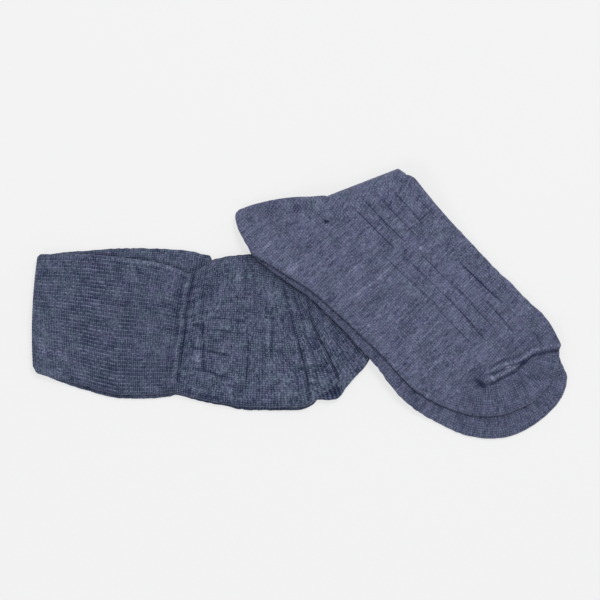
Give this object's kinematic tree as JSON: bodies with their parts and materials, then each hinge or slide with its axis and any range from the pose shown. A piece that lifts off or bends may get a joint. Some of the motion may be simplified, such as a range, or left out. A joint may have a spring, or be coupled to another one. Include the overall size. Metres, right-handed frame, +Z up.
{
  "type": "pair of long socks",
  "caption": "Pair of knee-length knitted socks with fine-ribbed cuffs and wide-ribbed legs, folded together at the ankle and laid flat.",
  "frame": {"origin": "middle of the pair in plan, on the surface it lies on", "axes": "+X along the legs from the cuffs towards the toes, +Y across the legs towards the heels, +Z up from the surface"},
  "size_m": [0.3744, 0.1875, 0.0156],
  "materials": {
    "inner_sock_knit": "matt blue-grey heather knit",
    "outer_sock_knit": "matt blue-grey heather knit"
  },
  "bodies": {
    "root": {"inner_sock": "inner_sock_knit", "outer_sock": "outer_sock_knit"}
  },
  "joints": []
}
